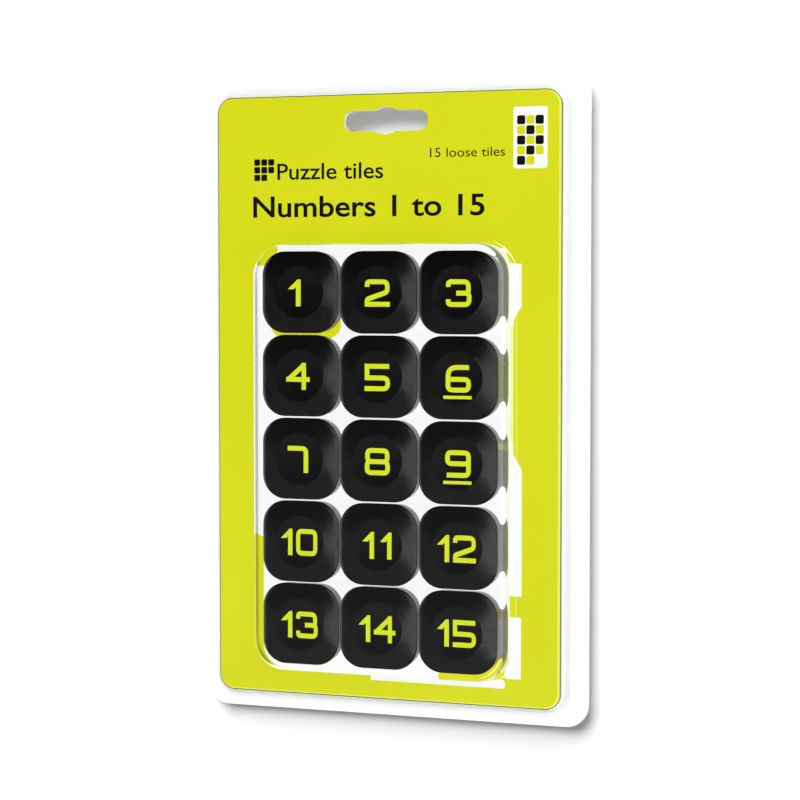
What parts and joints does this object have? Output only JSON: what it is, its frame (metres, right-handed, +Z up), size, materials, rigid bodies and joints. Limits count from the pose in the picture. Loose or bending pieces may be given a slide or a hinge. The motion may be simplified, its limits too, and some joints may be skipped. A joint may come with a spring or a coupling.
{
  "type": "sliding tile puzzle piece pack",
  "caption": "Hanging retail blister pack of numbered magnetic tiles for a sliding puzzle, with a clear front shell, a printed card, a white back shell and a peg slot.",
  "frame": {"origin": "middle of the peg slot, on the rear plane of the pack", "axes": "+Z up as the pack hangs, +Y out of the back towards the pegboard, +X to the right as seen from the front"},
  "size_m": [0.0984, 0.0117, 0.155],
  "materials": {
    "clear_sheet": "clear thermoformed sheet, glossy",
    "white_sheet": "white thermoformed sheet, satin",
    "card_stock": "coated card, yellow-green offset print, satin",
    "tile_cap": "fine satin moulded black",
    "tile_base": "satin moulded dark grey",
    "magnet_plating": "bright nickel plating",
    "number_ink": "yellow-green printed numbers",
    "card_print": "white and black offset print on the card"
  },
  "bodies": {
    "backing": {"back_shell": "white_sheet", "printed_card": "card_stock"},
    "front": {"front_shell": "clear_sheet"},
    "tile_01": {"tile_01_cap": "tile_cap", "tile_01_base": "tile_base", "tile_01_magnet": "magnet_plating"},
    "tile_02": {"tile_02_cap": "tile_cap", "tile_02_base": "tile_base", "tile_02_magnet": "magnet_plating"},
    "tile_03": {"tile_03_cap": "tile_cap", "tile_03_base": "tile_base", "tile_03_magnet": "magnet_plating"},
    "tile_04": {"tile_04_cap": "tile_cap", "tile_04_base": "tile_base", "tile_04_magnet": "magnet_plating"},
    "tile_05": {"tile_05_cap": "tile_cap", "tile_05_base": "tile_base", "tile_05_magnet": "magnet_plating"},
    "tile_06": {"tile_06_cap": "tile_cap", "tile_06_base": "tile_base", "tile_06_magnet": "magnet_plating"},
    "tile_07": {"tile_07_cap": "tile_cap", "tile_07_base": "tile_base", "tile_07_magnet": "magnet_plating"},
    "tile_08": {"tile_08_cap": "tile_cap", "tile_08_base": "tile_base", "tile_08_magnet": "magnet_plating"},
    "tile_09": {"tile_09_cap": "tile_cap", "tile_09_base": "tile_base", "tile_09_magnet": "magnet_plating"},
    "tile_10": {"tile_10_cap": "tile_cap", "tile_10_base": "tile_base", "tile_10_magnet": "magnet_plating"},
    "tile_11": {"tile_11_cap": "tile_cap", "tile_11_base": "tile_base", "tile_11_magnet": "magnet_plating"},
    "tile_12": {"tile_12_cap": "tile_cap", "tile_12_base": "tile_base", "tile_12_magnet": "magnet_plating"},
    "tile_13": {"tile_13_cap": "tile_cap", "tile_13_base": "tile_base", "tile_13_magnet": "magnet_plating"},
    "tile_14": {"tile_14_cap": "tile_cap", "tile_14_base": "tile_base", "tile_14_magnet": "magnet_plating"},
    "tile_15": {"tile_15_cap": "tile_cap", "tile_15_base": "tile_base", "tile_15_magnet": "magnet_plating"}
  },
  "joints": [
    {"name": "front_shell_lift", "type": "slide", "parent": "backing", "child": "front", "axis": [0, -1, 0], "range_m": [0, 0.09]},
    {"name": "tile_01_lift", "type": "slide", "parent": "backing", "child": "tile_01", "axis": [0, -1, 0], "range_m": [0, 0.027]},
    {"name": "tile_02_lift", "type": "slide", "parent": "backing", "child": "tile_02", "axis": [0, -1, 0], "range_m": [0, 0.027]},
    {"name": "tile_03_lift", "type": "slide", "parent": "backing", "child": "tile_03", "axis": [0, -1, 0], "range_m": [0, 0.027]},
    {"name": "tile_04_lift", "type": "slide", "parent": "backing", "child": "tile_04", "axis": [0, -1, 0], "range_m": [0, 0.0333]},
    {"name": "tile_05_lift", "type": "slide", "parent": "backing", "child": "tile_05", "axis": [0, -1, 0], "range_m": [0, 0.0333]},
    {"name": "tile_06_lift", "type": "slide", "parent": "backing", "child": "tile_06", "axis": [0, -1, 0], "range_m": [0, 0.0333]},
    {"name": "tile_07_lift", "type": "slide", "parent": "backing", "child": "tile_07", "axis": [0, -1, 0], "range_m": [0, 0.0396]},
    {"name": "tile_08_lift", "type": "slide", "parent": "backing", "child": "tile_08", "axis": [0, -1, 0], "range_m": [0, 0.0396]},
    {"name": "tile_09_lift", "type": "slide", "parent": "backing", "child": "tile_09", "axis": [0, -1, 0], "range_m": [0, 0.0396]},
    {"name": "tile_10_lift", "type": "slide", "parent": "backing", "child": "tile_10", "axis": [0, -1, 0], "range_m": [0, 0.0459]},
    {"name": "tile_11_lift", "type": "slide", "parent": "backing", "child": "tile_11", "axis": [0, -1, 0], "range_m": [0, 0.0459]},
    {"name": "tile_12_lift", "type": "slide", "parent": "backing", "child": "tile_12", "axis": [0, -1, 0], "range_m": [0, 0.0459]},
    {"name": "tile_13_lift", "type": "slide", "parent": "backing", "child": "tile_13", "axis": [0, -1, 0], "range_m": [0, 0.0522]},
    {"name": "tile_14_lift", "type": "slide", "parent": "backing", "child": "tile_14", "axis": [0, -1, 0], "range_m": [0, 0.0522]},
    {"name": "tile_15_lift", "type": "slide", "parent": "backing", "child": "tile_15", "axis": [0, -1, 0], "range_m": [0, 0.0522]}
  ],
  "couplings": [
    {"joint": "tile_01_lift", "follows": "front_shell_lift", "ratio": 0.3},
    {"joint": "tile_02_lift", "follows": "front_shell_lift", "ratio": 0.3},
    {"joint": "tile_03_lift", "follows": "front_shell_lift", "ratio": 0.3},
    {"joint": "tile_04_lift", "follows": "front_shell_lift", "ratio": 0.37},
    {"joint": "tile_05_lift", "follows": "front_shell_lift", "ratio": 0.37},
    {"joint": "tile_06_lift", "follows": "front_shell_lift", "ratio": 0.37},
    {"joint": "tile_07_lift", "follows": "front_shell_lift", "ratio": 0.44},
    {"joint": "tile_08_lift", "follows": "front_shell_lift", "ratio": 0.44},
    {"joint": "tile_09_lift", "follows": "front_shell_lift", "ratio": 0.44},
    {"joint": "tile_10_lift", "follows": "front_shell_lift", "ratio": 0.51},
    {"joint": "tile_11_lift", "follows": "front_shell_lift", "ratio": 0.51},
    {"joint": "tile_12_lift", "follows": "front_shell_lift", "ratio": 0.51},
    {"joint": "tile_13_lift", "follows": "front_shell_lift", "ratio": 0.58},
    {"joint": "tile_14_lift", "follows": "front_shell_lift", "ratio": 0.58},
    {"joint": "tile_15_lift", "follows": "front_shell_lift", "ratio": 0.58}
  ]
}
